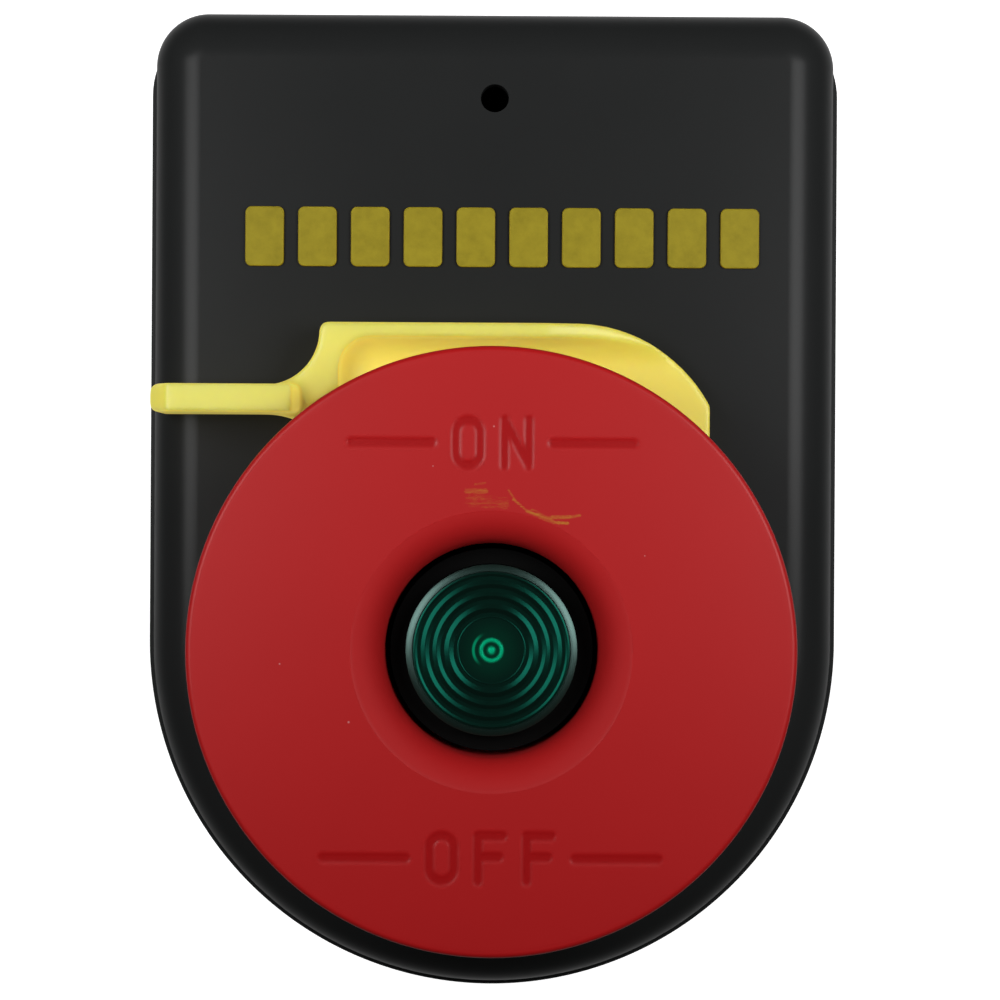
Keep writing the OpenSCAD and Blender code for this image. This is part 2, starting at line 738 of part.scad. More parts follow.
module switch_block() {
    color("#d8d2c0") difference() {
        block([block_x0, -block_half_l, bracket_top_z], [block_x1, block_half_l, bracket_top_z + block_h]);
        block([block_x0 - 1, -slot_half_w, bracket_top_z - 1],
            [slider_x[1] + 0.5, slot_half_w, bracket_top_z + block_h + 1]);
        for (p = contact_places) contact_strip(p);
    }
}

// Fixed contact strips: side of the slot, place along X, lowest and highest point
contact_places = [
    [1, 33, hub_end_z + 5.2, hub_end_z + 9], [1, 38, hub_end_z + 5.2, hub_end_z + 9],
    [-1, 33, yoke_z - 0.4, yoke_z + 5], [-1, 38, yoke_z - 0.4, yoke_z + 5]
];
module contact_strip(p) {
    mirror([0, p[0] > 0 ? 0 : 1, 0]) {
        block([p[1] - 1.4, slot_half_w, p[2]], [p[1] + 1.4, slot_half_w + contact_t, p[3]]);
        block([p[1] - 1.4, slot_half_w, p[2] + 1], [p[1] + 1.4, block_half_l + 5, p[2] + 1.8]);
    }
}

module block_contacts() {
    color("darkgoldenrod") for (p = contact_places) contact_strip(p);
}

module switch_slider() {
    color("#efe9d8") difference() {
        block([slider_x[0], -slider_half_w, slider_z0], [slider_x[1], slider_half_w, slider_z1]);
        block([slider_x[0] - 1, -slider_half_w - 1, yoke_z], [arm_x, slider_half_w + 1, hub_end_z]);
    }
}

module slider_bridges() {
    color("goldenrod") {
        block([32.2, slider_half_w, hub_end_z + 0.6], [39.2, slot_half_w - 0.1, hub_end_z + 4.6]);
        block([36, -slot_half_w + 0.1, yoke_z - 0.2], [39.2, -slider_half_w, yoke_z + 2.8]);
        block([32.2, -slot_half_w + 0.1, yoke_z + 3.2], [39.2, -slider_half_w, yoke_z + 4]);
        block([36, -slot_half_w + 0.1, yoke_z + 2.6], [39.2, -slider_half_w, yoke_z + 3.4]);
    }
}

// Outline of the key's plate, without its fork slot
module key_outline() {
    arc_x = key_tip_x - 19.5;
    intersection() {
        union() {
            translate([arc_x, key_top_y - key_arc_r]) circle(key_arc_r, $fn = 96);
            translate([key_corner_x, 0]) square([arc_x - key_corner_x, key_top_y - key_corner_r]);
            translate([key_corner_x + key_corner_r, 0])
                square([arc_x - key_corner_x - key_corner_r, key_top_y]);
            translate([key_corner_x + key_corner_r, key_top_y - key_corner_r]) circle(key_corner_r);
            square([key_tip_x, key_top_y - key_arc_r]);
        }
        translate([key_corner_x, 0]) square([key_tip_x - key_corner_x, key_top_y + 1]);
    }
    intersection() {
        circle(key_disc_r, $fn = 96);
        translate([-key_disc_r, -key_disc_r]) square([key_disc_r + 18, 2 * key_disc_r]);
    }
    difference() {
        translate([key_corner_x - key_fillet_r, fin_y])
            square([key_fillet_r + 1, key_top_y - key_corner_r - fin_y]);
        translate([key_corner_x - key_fillet_r, fin_y + fin_t / 2 + key_fillet_r]) circle(key_fillet_r);
    }
    difference() {
        translate([-33.4, 20]) square([13, fin_y - 20]);
        translate([-33.4, fin_y - fin_t / 2 - 12]) circle(12);
    }
}

// Hollow over the key's plate: a slab with a rounded lower edge, whose walls stand at x0 and y1
module hollow_section(w, h, edge) {
    translate([0, edge]) square([w, h - edge]);
    square([w - edge, h]);
    translate([w - edge, edge]) intersection() {
        circle(edge);
        translate([0, -edge]) square(edge);
    }
}
module key_hollow(x0, y1, edge, h) {
    corner = edge + 0.6;
    translate([x0 + corner, 0, 0]) rotate([90, 0, 90]) linear_extrude(60) hollow_section(y1, h, edge);
    translate([x0 + corner, y1 - corner, 0]) rotate([90, 0, 0]) linear_extrude(y1 - corner)
        mirror([1, 0]) hollow_section(corner, h, edge);
    translate([x0 + corner, y1 - corner, 0]) rotate([0, 0, 90]) rotate_extrude(angle = 90)
        hollow_section(corner, h, edge);
}

module safety_key() {
    color("#e2d452") difference() {
        union() {
            translate([0, 0, key_z]) linear_extrude(key_t) key_outline();
            difference() {
                translate([0, 0, key_top_z - 0.5]) linear_extrude(key_rim_h + 0.5) intersection() {
                    key_outline();
                    translate([key_corner_x - key_fillet_r, 26])
                        square([key_tip_x - key_corner_x + key_fillet_r, key_top_y]);
                }
                translate([0, 0, key_top_z])
                    key_hollow(key_hollow_x, key_top_y - key_rim_w, key_hollow_r, 20);
                translate([8, 0, key_rim_z]) rotate([0, 14, 0]) cube([60, 100, 20]);
            }
            difference() {
                translate([(fin_x1 + fin_slope - fin_reach) / 2, fin_y, key_z]) linear_extrude(fin_z - key_z)
                    round_rect((fin_reach + fin_x1 + fin_slope) / 2, fin_t / 2, fin_corner_r);
                translate([fin_facet[0] - fin_reach, fin_y - 5, fin_z])
                    rotate([0, -atan(fin_facet[1] / fin_facet[0]), 0]) translate([-10, 0, 0]) cube(10);
                translate([fin_x1, fin_y - 5, fin_z])
                    rotate([0, atan((fin_z - key_rim_z) / fin_slope), 0]) cube([20, 10, 10]);
            }
        }
        post([0, 0], paddle_r + 0.5, key_top_z + 1.5, fin_z + 1);
        post([0, 0], key_slot_r, key_z - 1, key_top_z + 1);
        block([0, -key_slot_r, key_z - 1], [60, key_slot_r, key_top_z + 1]);
        post(magnet_place, magnet_r + fit_gap, key_z - 1, key_z + magnet_t);
    }
}

module key_magnet() {
    color("dimgray") post(magnet_place, magnet_r, key_z, key_z + magnet_t);
}

module key_sensor() {
    color("#303030") translate([magnet_place[0], magnet_place[1], cover_in_z - 6])
        linear_extrude(6) round_rect(10, 3.5, 1);
}

rear_box();
front_cover();
cover_gasket();
cover_screws();
mounting_inserts();
cable_grommets();
mounting_plate();
plate_screws();
earth_screw();
contactor_base();
magnet_core();
coil_bobbin();
coil_winding();
armature();
contact_carrier();
contact_bridges();
armature_springs();
contactor_cover();
fixed_contacts();
terminal_screws();
link_pins();
overload_relay();
relay_screws();
current_dial();
reset_plunger();
reset_spring();
mechanism_bracket();
bracket_screws();
lamp_tube();
lamp_board();
lamp_led();
lens();
paddle();
paddle_yoke();
yoke_screws();
pull_spring();
push_spring();
switch_block();
block_contacts();
switch_slider();
slider_bridges();
safety_key();
key_magnet();
key_sensor();
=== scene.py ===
# Looks of the motor starter switch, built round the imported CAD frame.
# Sizes are in millimetres until a mesh is made from them, because meshes are in metres.
import json

import bpy
import numpy as np
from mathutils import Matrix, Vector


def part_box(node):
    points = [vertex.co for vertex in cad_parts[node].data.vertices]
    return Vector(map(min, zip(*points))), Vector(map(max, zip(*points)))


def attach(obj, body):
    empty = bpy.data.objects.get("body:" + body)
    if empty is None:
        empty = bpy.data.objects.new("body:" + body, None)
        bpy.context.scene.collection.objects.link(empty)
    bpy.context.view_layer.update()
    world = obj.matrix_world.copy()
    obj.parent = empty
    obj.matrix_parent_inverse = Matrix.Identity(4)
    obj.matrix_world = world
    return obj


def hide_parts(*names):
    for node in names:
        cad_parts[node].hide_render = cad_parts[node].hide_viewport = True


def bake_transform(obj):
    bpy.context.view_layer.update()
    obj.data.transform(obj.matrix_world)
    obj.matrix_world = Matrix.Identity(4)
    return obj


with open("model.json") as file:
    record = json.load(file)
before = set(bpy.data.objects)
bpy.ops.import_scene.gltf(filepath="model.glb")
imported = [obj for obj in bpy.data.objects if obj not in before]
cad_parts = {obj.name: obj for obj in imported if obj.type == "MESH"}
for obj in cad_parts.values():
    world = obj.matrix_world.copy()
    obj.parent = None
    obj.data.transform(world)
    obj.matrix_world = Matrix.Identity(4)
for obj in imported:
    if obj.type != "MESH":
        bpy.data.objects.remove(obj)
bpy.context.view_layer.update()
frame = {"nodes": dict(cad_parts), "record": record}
MM = 0.001


# Rear box. One deep moulding in black ABS with a fine spark-eroded grain. Four towers take the
# cover's screws from behind, and short bosses carry the brass inserts and the mounting plate.
def colour(code):
    """Linear RGBA of an sRGB hex code, by the sRGB curve on each channel."""
    part = np.array([int(code[i:i + 2], 16) for i in (1, 3, 5)]) / 255
    linear = np.where(part <= 0.04045, part / 12.92, ((part + 0.055) / 1.055) ** 2.4)
    return (*linear, 1.0)


def add(tree, kind, inputs=None, **settings):
    """Adds a shader node, sets its attributes, and links or fills its inputs."""
    node = tree.nodes.new("ShaderNode" + kind)
    for key, value in settings.items():
        setattr(node, key, value)
    for key, value in (inputs or {}).items():
        if isinstance(value, bpy.types.NodeSocket):
            tree.links.new(value, node.inputs[key])
        else:
            node.inputs[key].default_value = value
    return node


def empty_material(name):
    """A material with a bare Principled shader, as the material, its tree, the shader and the
    Object coordinates."""
    material = bpy.data.materials.new(name)
    material.use_nodes = True
    tree = material.node_tree
    return material, tree, tree.nodes["Principled BSDF"], add(tree, "TexCoord").outputs["Object"]


def moulded_plastic(name, main, patch, roughness, grain_mm, depth_mm, sheen=0.5):
    """Plastic from a spark-eroded tool: two near colours in slow patches, and a grain of
    grain_mm across that stands depth_mm high. The grain scatters part of the mirror light, so
    that less than the usual sheen of 0.5 is left."""
    material, tree, shader, where = empty_material(name)
    slow = add(tree, "TexNoise", {"Vector": where, "Scale": 1 / (14 * MM), "Detail": 3.0})
    base = add(tree, "Mix", {0: slow.outputs[0], 6: colour(main), 7: colour(patch)}, data_type="RGBA")
    grain = add(tree, "TexNoise", {"Vector": where, "Scale": 1 / (grain_mm * MM), "Detail": 2.0})
    bump = add(tree, "Bump", {"Height": grain.outputs[0], "Strength": 1.0, "Distance": depth_mm * MM})
    tree.links.new(base.outputs[2], shader.inputs["Base Color"])
    tree.links.new(bump.outputs[0], shader.inputs["Normal"])
    shader.inputs["Roughness"].default_value = roughness
    shader.inputs["Specular IOR Level"].default_value = sheen
    return material


def housing_outline(radius, top, corner, low_steps=160, corner_steps=20):
    """Points and outward normals of the housing's outline, anticlockwise: half a circle of the
    radius below the axis, straight sides, and two corner arcs under the flat top edge."""
    low = np.linspace(np.pi, 2 * np.pi, low_steps + 1)
    turn = np.linspace(0, np.pi / 2, corner_steps + 1)
    angle = np.concatenate([low, turn, turn + np.pi / 2])
    normals = np.stack([np.cos(angle), np.sin(angle)], 1)
    count = corner_steps + 1
    centres = np.concatenate([np.zeros((low_steps + 1, 2)),
                              np.tile([radius - corner, top - corner], (count, 1)),
                              np.tile([corner - radius, top - corner], (count, 1))])
    radii = np.concatenate([np.full(low_steps + 1, radius), np.full(2 * count, corner)])
    return centres + radii[:, None] * normals, normals


def circle(radius, centre=(0, 0), steps=64):
    """Points and outward normals of a circle, anticlockwise."""
    angle = np.linspace(0, 2 * np.pi, steps, endpoint=False)
    normals = np.stack([np.cos(angle), np.sin(angle)], 1)
    return np.array(centre) + radius * normals, normals


def grid_faces(rows, columns, closed):
    """Quads of a grid of rows by columns that closes on itself along its columns, and along its
    rows where closed is true."""
    row = np.arange(rows if closed else rows - 1)[:, None]
    column = np.arange(columns)[None]
    up, along = (row + 1) % rows, (column + 1) % columns
    corners = [row * columns + column, row * columns + along, up * columns + along, up * columns + column]
    return np.stack(np.broadcast_arrays(*corners), -1).reshape(-1, 4).tolist()


def swept(outline, profile):
    """Closed solid: the outline at each (inset, height) of the profile, moved inwards along its
    normals by the inset, with a flat cap at both ends."""
    points, normals = outline
    inset, height = np.array(profile, float).T
    flat = points[None] - inset[:, None, None] * normals[None]
    high = np.broadcast_to(height[:, None, None], (*flat.shape[:2], 1))
    rows, columns = flat.shape[:2]
    faces = grid_faces(rows, columns, False)
    faces += [list(range(columns))[::-1], list(range((rows - 1) * columns, rows * columns))]
    return np.concatenate([flat, high], 2).reshape(-1, 3), faces


def post(place, radius, low, high):
    """Upright cylinder at a place in the plane, between two heights."""
    return swept(circle(radius, place), [(0, low), (0, high)])


def solid(name, *parts):
    """Mesh object made of (points in millimetres, faces) parts, at the origin."""
    points, faces, count = [], [], 0
    for verts, polygons in parts:
        points.append(np.asarray(verts, float))
        faces += [[count + i for i in polygon] for polygon in polygons]
        count += len(verts)
    mesh = bpy.data.meshes.new(name)
    mesh.from_pydata((np.concatenate(points) * MM).tolist(), [], faces)
    piece = bpy.data.objects.new(name, mesh)
    bpy.context.scene.collection.objects.link(piece)
    return piece


def settle(piece):
    """Gives a piece the mesh that its modifiers make, and drops them."""
    graph = bpy.context.evaluated_depsgraph_get()
    made = bpy.data.meshes.new_from_object(piece.evaluated_get(graph))
    piece.modifiers.clear()
    piece.data = made


def combine(piece, operation, *parts):
    """Adds solids to a piece (UNION) or takes them away (DIFFERENCE), one after the other."""
    for part in parts:
        tool = solid("tool", part)
        step = piece.modifiers.new("shape", "BOOLEAN")
        step.operation, step.solver, step.object = operation, "MANIFOLD", tool
        settle(piece)
        bpy.data.objects.remove(tool)


def smooth(piece, material, degrees=32):
    """Shades smoothly up to an angle between faces, with normals weighted by the faces' areas, so
    that flat faces stay flat next to fillets."""
    piece.data.materials.clear()
    piece.data.materials.append(material)
    piece.data.shade_smooth()
    piece.data.set_sharp_from_angle(angle=np.radians(degrees))
    weigh = piece.modifiers.new("normals", "WEIGHTED_NORMAL")
    weigh.keep_sharp = True


def fillet(inset, height, radius, start, end, steps=8):
    """Arc of (inset, height) points round a centre, from one angle to another in degrees. Angle 0
    points outwards, against the inset, and 90 degrees points up."""
    angle = np.radians(np.linspace(start, end, steps + 1))
    return list(zip(inset - radius * np.cos(angle), height + radius * np.sin(angle)))


past = 1.0  # how far a cut runs past the face that it opens, and a boss into its wall
body_r, top_y, rim_z = (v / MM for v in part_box("rear_box")[1])
box_corner, wall, floor_t, back_edge, inner_fillet, rebate = 12, 2.6, 3.0, 0.8, 1.2, 1.2
box_line = housing_outline(body_r, top_y, box_corner)

# Towers for the cover's screws: one in each top corner and two on the round lower end
tower_half, tower_bore, screw_hole, tower_cap = 5.8, 4.2, 2.2, 4
tower_top, tower_inset = rim_z - 16, 9
tower_r, tower_angle = body_r - 7.9, np.radians(32.6)
tower_places = [(s * (body_r - tower_inset), top_y - tower_inset) for s in (-1, 1)]
tower_places += [(s * tower_r * np.cos(tower_angle), -tower_r * np.sin(tower_angle)) for s in (-1, 1)]

# Bosses of the brass inserts and of the mounting plate, and the two cable entries
insert_boss, insert_bore, insert_depth, insert_top = 5.5, 3.45, 9, 11
insert_places = [(x, 32 + y) for x in (-32, 32) for y in (-40, 40)]
plate_boss, plate_hole, plate_z = 4, 2, 6
plate_places = [(x, y) for x in (-18, 18) for y in (-31.5, 35.5)] + [(0, -31.5)]
grommet_hole, grommet_seat, seat_depth = 6.45, 8.8, 1.3
grommet_places = [(s * (body_r - 14.5), 32) for s in (-1, 1)]

# Black ABS: its grain breaks the mirror image of a lamp into a soft grey streak. The grain is drawn
# 0.34 mm across, as coarse as it needs to show.
abs_black = moulded_plastic("abs_black_grained", "#212222", "#242525", 0.3, 0.34, 0.0032, 0.09)
box = solid("box_shell", swept(box_line, [*fillet(back_edge, back_edge, back_edge, -90, 0, 4), (0, rim_z)]))
combine(box, "DIFFERENCE",
        swept(box_line, [*fillet(wall + inner_fillet, floor_t + inner_fillet, inner_fillet, -90, 0, 4),
                         (wall, rim_z + past)]),
        swept(box_line, [(wall / 2, rim_z - rebate), (wall / 2, rim_z + 2 * past)]))
for p in tower_places:
    combine(box, "UNION", post(p, tower_half, floor_t - past, tower_top))
    combine(box, "DIFFERENCE", post(p, tower_bore, -past, tower_top - tower_cap),
            post(p, screw_hole, 0, tower_top + past))
for p in insert_places:
    combine(box, "UNION", post(p, insert_boss, floor_t - past, insert_top))
    combine(box, "DIFFERENCE", post(p, insert_bore, -past, insert_depth))
for p in plate_places:
    combine(box, "UNION", post(p, plate_boss, floor_t - past, plate_z))
    combine(box, "DIFFERENCE", post(p, plate_hole, 1, plate_z + past))
for p in grommet_places:
    combine(box, "DIFFERENCE", post(p, grommet_hole, -past, floor_t + past),
            post(p, grommet_seat, -past, seat_depth))
smooth(box, abs_black)
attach(box, "housing")
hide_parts("rear_box")


# Front cover. The same black ABS as the box. Its sides stand 0.7 mm inside the box's, the edge
# round its face is a large soft radius, and a collar round the hole carries the safety key.
def slab(x0, x1, y0, y1, low, high):
    """Upright block between two corners in the plane and two heights."""
    corners = np.array([(x0, y0), (x1, y0), (x1, y1), (x0, y1)])
    return swept((corners, np.zeros((4, 2))), [(0, low), (0, high)])


cover_r, cover_corner, face_z, cover_edge, cover_wall_z = body_r - 0.7, 8, 80.0, 7.4, 77.0
cover_line = housing_outline(cover_r, top_y, cover_corner, 240, 32)
inner_edge = cover_edge - wall
tongue_t, tongue_gap, tongue_low, tongue_high = 1.6, 0.2, 3, 2
collar_bore, collar_r, collar_h, sleeve_z = 19.0, 21.3, 6, 68.0
lip_r, lip_z, lip_t, lip_edge = 23.3, 84.6, 2.4, 0.4
notch_r, notch_half = 20.5, 1.8
port_y, port_r, pin_guide, pin_boss, pin_boss_h = 80.7, 2.075, 3.4, 4.8, 11
cover_post, pilot_hole, pilot_depth = 4.2, 2, 14
bracket_post, bracket_hole, bracket_z, bracket_depth = 3.5, 1.5, 53, 9
bracket_places = [(x, y) for x in (-27, 27) for y in (-20, 20)]
cut_top = 110  # above everything that a cut through the cover has to open

cover = solid("cover_shell", swept(cover_line, [
    (0, rim_z), *fillet(cover_edge, face_z - cover_edge, cover_edge, 0, 90, 20)]))
combine(cover, "DIFFERENCE", swept(cover_line, [
    (wall, rim_z - past), *fillet(wall + inner_edge, cover_wall_z - inner_edge, inner_edge, 0, 90)]))
tongue_out, tongue_in = wall + tongue_gap, wall + tongue_gap + tongue_t
tongue = solid("tongue", swept(box_line, [(tongue_out, rim_z - tongue_low),
                                          (tongue_out, rim_z + tongue_high)]))
combine(tongue, "DIFFERENCE", swept(box_line, [(tongue_in, rim_z - tongue_low - past),
                                               (tongue_in, rim_z + tongue_high + past)]))
join = cover.modifiers.new("tongue", "BOOLEAN")
join.operation, join.solver, join.object = "UNION", "MANIFOLD", tongue
settle(cover)
bpy.data.objects.remove(tongue)
combine(cover, "UNION",
        swept(circle(collar_r, steps=128), [(0, sleeve_z), (0, face_z + collar_h)]),
        swept(circle(lip_r, steps=128),
              [(0, lip_z), *fillet(lip_edge, lip_z + lip_t - lip_edge, lip_edge, 0, 90, 3)]),
        post((0, port_y), pin_boss, cover_wall_z - pin_boss_h, cover_wall_z + past))
for p in tower_places:
    combine(cover, "UNION", post(p, cover_post, tower_top, cover_wall_z + past))
    combine(cover, "DIFFERENCE", post(p, pilot_hole, tower_top - past, tower_top + pilot_depth))
for p in bracket_places:
    combine(cover, "UNION", post(p, bracket_post, bracket_z, cover_wall_z + past))
    combine(cover, "DIFFERENCE", post(p, bracket_hole, bracket_z - past, bracket_z + bracket_depth))
combine(cover, "DIFFERENCE",
        swept(circle(collar_bore, steps=128), [(0, sleeve_z - past), (0, cut_top)]),
        slab(-notch_r, 0, -notch_half, notch_half, sleeve_z - past, cut_top),
        post((0, port_y), port_r, cover_wall_z - pin_boss_h / 2, cut_top),
        post((0, port_y), pin_guide, cover_wall_z - 2 * pin_boss_h, cover_wall_z))
smooth(cover, abs_black)
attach(cover, "housing")
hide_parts("front_cover")


# Raised bars on the cover. A plain row of ten equal bars with soft corners, moulded in one with the
# cover, and printed olive yellow on their tops and sides.
def rounded_rectangle(centre, half, corner, steps=6):
    """Points and outward normals of a rectangle with round corners, anticlockwise."""
    turn = np.linspace(0, np.pi / 2, steps + 1)
    angle = np.concatenate([turn + quarter * np.pi / 2 for quarter in range(4)])
    normals = np.stack([np.cos(angle), np.sin(angle)], 1)
    sides = np.repeat([(1, 1), (-1, 1), (-1, -1), (1, -1)], steps + 1, axis=0)
    return np.array(centre) + sides * (np.array(half) - corner) + corner * normals, normals


bar_count, bar_pitch, bar_half, bar_corner, bar_x, bar_y = 10, 7.8, (2.85, 4.4), 0.9, 1.2, 60.1
bar_h, bar_edge, bar_foot = 0.6, 0.2, 0.12
bar_profile = [(-bar_foot, face_z - 0.3), (0, face_z), (0, face_z + bar_h - bar_edge),
               *fillet(bar_edge, face_z + bar_h - bar_edge, bar_edge, 0, 90, 4)]
bar_places = [((i - (bar_count - 1) / 2) * bar_pitch + bar_x, bar_y) for i in range(bar_count)]
bars = solid("cover_bars", *[swept(rounded_rectangle(p, bar_half, bar_corner), bar_profile)
                             for p in bar_places])

# Olive ink on the black ABS: dull, and patchy where it is rubbed thin. Faces that turn away from straight
# up are drawn a warmer, lighter yellow than the tops
bar_ink, tree, shader, where = empty_material("abs_olive_print")
rubbed = add(tree, "TexNoise", {"Vector": where, "Scale": 1 / (2.2 * MM), "Detail": 6.0, "Roughness": 0.7})
thin = add(tree, "MapRange", {0: rubbed.outputs[0], 1: 0.35, 2: 0.7})
ink = add(tree, "Mix", {0: thin.outputs[0], 6: colour("#95871f"), 7: colour("#857818")}, data_type="RGBA")
flat = add(tree, "SeparateXYZ", {0: add(tree, "NewGeometry").outputs["Normal"]})
side = add(tree, "MapRange", {0: flat.outputs[2], 1: 0.95, 2: 0.6})
inked = add(tree, "Mix", {0: side.outputs[0], 6: ink.outputs[2], 7: colour("#a08a1c")}, data_type="RGBA")
tree.links.new(inked.outputs[2], shader.inputs["Base Color"])
shader.inputs["Roughness"].default_value = 0.5
shader.inputs["Specular IOR Level"].default_value = 0.12
smooth(bars, bar_ink)
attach(bars, "housing")


# Paddle. A thick red disc moulded in one with its skirt, hub tube, ribs and guide rib. Its face
# carries two sunk lines of lettering, and dips into the hole in a soft funnel.
def lathe(profile, angles):
    """Closed solid of revolution about the Z axis: a closed loop of (radius, height) points turned
    through the given angles, which go once round."""
    loop = np.array(profile, float)
    radius, height = loop[:, 0][:, None], loop[:, 1][:, None]
    verts = np.stack(np.broadcast_arrays(radius * np.cos(angles), radius * np.sin(angles), height), -1)
    return verts.reshape(-1, 3), grid_faces(len(loop), len(angles), True)


def stroke(points, x0, y0, x1, y1, ring=0.0):
    """Distance of points from the line between two ends, or from an oval of half width ring that
    runs round that line."""
    start, along = np.array([x0, y0]), np.array([x1 - x0, y1 - y0])
    share = np.clip((points - start) @ along / (along @ along), 0, 1)
    gap = np.linalg.norm(points - start - share[:, None] * along, axis=1)
    return np.abs(gap - ring)


def with_values(piece, **layers):
    """Gives the points of a piece one named attribute for each array of values."""
    for name, values in layers.items():
        layer = piece.data.attributes.new(name, "FLOAT", "POINT")
        layer.data.foreach_set("value", values.astype(np.float32))
    return piece


hub_end, paddle_z = (v.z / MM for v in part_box("paddle"))
paddle_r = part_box("paddle")[1].x / MM
hub_r, hole_r, paddle_t, skirt_h, paddle_edge, funnel = 18.6, 15.2, 2.6, 9.0, 0.8, 4.6
under = paddle_z - paddle_t
bevel = 0.3  # on the rims of the skirt and of the hub
fine_low, fine_high, fine_step = hole_r + funnel, 38.8, 0.25  # the rings that carry the words

# The two sectors of the words get fine steps, and the gaps between them coarse ones
sector = np.linspace(-42, 42, 197)
gap = np.linspace(42, 138, 39)[1:-1]
angles = np.radians(np.concatenate([90 + sector, 90 + gap, 270 + sector, 270 + gap]))
edge_arc = np.radians(np.linspace(0, 90, 9))
# The funnel begins with a slope of 10 degrees, which draws the fine line round it
funnel_arc = np.radians([10, 10.5, *np.linspace(16, 90, 14)])
funnel_r = funnel / (1 - np.sin(funnel_arc[0]))
profile = [(hub_r, hub_end), (hub_r, under - 1), (hub_r + 1, under), (paddle_r - paddle_t - 1, under),
           (paddle_r - paddle_t, under - 1), (paddle_r - paddle_t, paddle_z - skirt_h + bevel),
           (paddle_r - paddle_t + bevel, paddle_z - skirt_h), (paddle_r - bevel, paddle_z - skirt_h),
           (paddle_r, paddle_z - skirt_h + bevel)]
profile += list(zip(paddle_r - paddle_edge + paddle_edge * np.cos(edge_arc),
                    paddle_z - paddle_edge + paddle_edge * np.sin(edge_arc)))
profile += [(r, paddle_z) for r in np.linspace(paddle_r - paddle_edge, fine_high, 6)[1:]]
profile += [(r, paddle_z) for r in np.arange(fine_high - fine_step, fine_low + fine_step, -fine_step)]
profile += [(fine_low + 0.04, paddle_z)]
profile += list(zip(hole_r + funnel_r * (1 - np.sin(funnel_arc)),
                    paddle_z + funnel_r * (np.cos(funnel_arc) - np.cos(funnel_arc[0]))))
profile += [(hole_r, hub_end + bevel), (hole_r + bevel, hub_end)]
verts, faces = lathe(profile, angles)

# Strokes of the two words, with a long dash on each side of them: ON above the hole, OFF below it
cap, glyph, pitch, stroke_r, sink = 7.8, 4.9, 6.8, 0.75, 0.11
half_h, half_w = cap / 2 - stroke_r, glyph / 2 - stroke_r
letters = {
    "O": [(0, -half_h + half_w, 0, half_h - half_w, half_w)],
    "N": [(-half_w, -half_h, -half_w, half_h), (half_w, -half_h, half_w, half_h),
          (-half_w, half_h, half_w, -half_h)],
    "F": [(-half_w, -half_h, -half_w, half_h), (-half_w, half_h, half_w, half_h),
          (-half_w, 0.2, half_w * 0.7, 0.2)],
}
lines = [("ON", 29.3, 20.5), ("OFF", -28.9, 24.2)]
near_face = verts[:, 2] > paddle_z - 0.01
distance = np.full(len(verts), 1e3)
for word, line_y, reach in lines:
    first = -(len(word) - 1) * pitch / 2
    strokes = [(x0 + first + i * pitch, y0 + line_y, x1 + first + i * pitch, y1 + line_y, *ring)
               for i, letter in enumerate(word) for x0, y0, x1, y1, *ring in letters[letter]]
    inner = -first + glyph / 2 + 2.6
    strokes += [(s * inner, line_y, s * (reach - stroke_r), line_y) for s in (-1, 1)]
    for line in strokes:
        distance = np.minimum(distance, stroke(verts[:, :2], *line))
sunk = np.clip((stroke_r + 0.15 - distance) / 0.5, 0, 1)
sunk = np.where(near_face, sunk * sunk * (3 - 2 * sunk), 0)
verts[:, 2] -= sink * sunk

# Rub marks above the hole, as soft strokes of (ends, half width, strength)
rubs = [(-2.4, 23.5, -0.9, 23.7, 0.25, 0.75), (-3.6, 22.6, -0.9, 22.5, 0.6, 0.76),
        (-3.2, 21.9, -1.2, 21.6, 0.4, 0.68), (-3.0, 21.2, 1.6, 20.8, 1.6, 0.6),
        (2.3, 22.7, 3.4, 21.0, 0.25, 0.8), (3.0, 21.4, 5.0, 19.7, 0.25, 0.9),
        (5.0, 19.7, 8.6, 18.2, 0.34, 1.1), (5.6, 20.0, 8.2, 18.9, 0.2, 0.75),
        (8.6, 18.2, 10.6, 18.1, 0.3, 1.1), (8.4, 18.9, 10.9, 19.0, 0.36, 1.0),
        (10.4, 18.9, 12.3, 19.2, 0.3, 0.9)]
rub = np.zeros(len(verts))
for *line, half, strength in rubs:
    rub = np.maximum(rub, strength * np.clip(1.4 - stroke(verts[:, :2], *line) / half, 0, 1))
rub = np.where(verts[:, 2] > paddle_z - funnel, rub, 0)
in_funnel = np.clip((fine_low + 0.05 - np.linalg.norm(verts[:, :2], axis=1)) / 0.5, 0, 1)

paddle = with_values(solid("paddle_moulding", (verts, faces)), sunk=sunk, rub=rub, in_funnel=in_funnel)


def spoke(length0, length1, half, low, high, degrees):
    """Upright plate that runs outwards from the axis at an angle."""
    turn = np.radians(degrees)
    away, aside = np.array([np.cos(turn), np.sin(turn)]), np.array([-np.sin(turn), np.cos(turn)])
    corners = [length0 * away - half * aside, length1 * away - half * aside,
               length1 * away + half * aside, length0 * away + half * aside]
    return swept((np.array(corners), np.zeros((4, 2))), [(0, low), (0, high)])


# Red ABS with a satin skin: a deep even red, smoother on the floor of the sunk strokes and duller in
# the funnel, with ochre rub marks and pale specks of dust. The sunk strokes are painted a darker red, as
# painted shade
paddle_red, tree, shader, where = empty_material("abs_red_satin")
slow = add(tree, "TexNoise", {"Vector": where, "Scale": 1 / (11 * MM), "Detail": 4.0})
red = add(tree, "Mix", {0: slow.outputs[0], 6: colour("#af1416"), 7: colour("#aa1315")}, data_type="RGBA")
letter = add(tree, "Attribute", attribute_name="sunk")
# Painted shade: the floor of the sunk strokes gets a darker red
red_with_painted_stroke_shade = add(tree, "Mix", {0: letter.outputs["Fac"], 6: red.outputs[2], 7: colour("#9e0d10")},
                data_type="RGBA")
fibre = add(tree, "TexNoise", {"Vector": add(tree, "Mapping", {0: where, 3: (0.6, 4.0, 1.0)}).outputs[0],
                               "Scale": 1 / (0.9 * MM), "Detail": 5.0, "Roughness": 0.8})
mark = add(tree, "Attribute", attribute_name="rub")
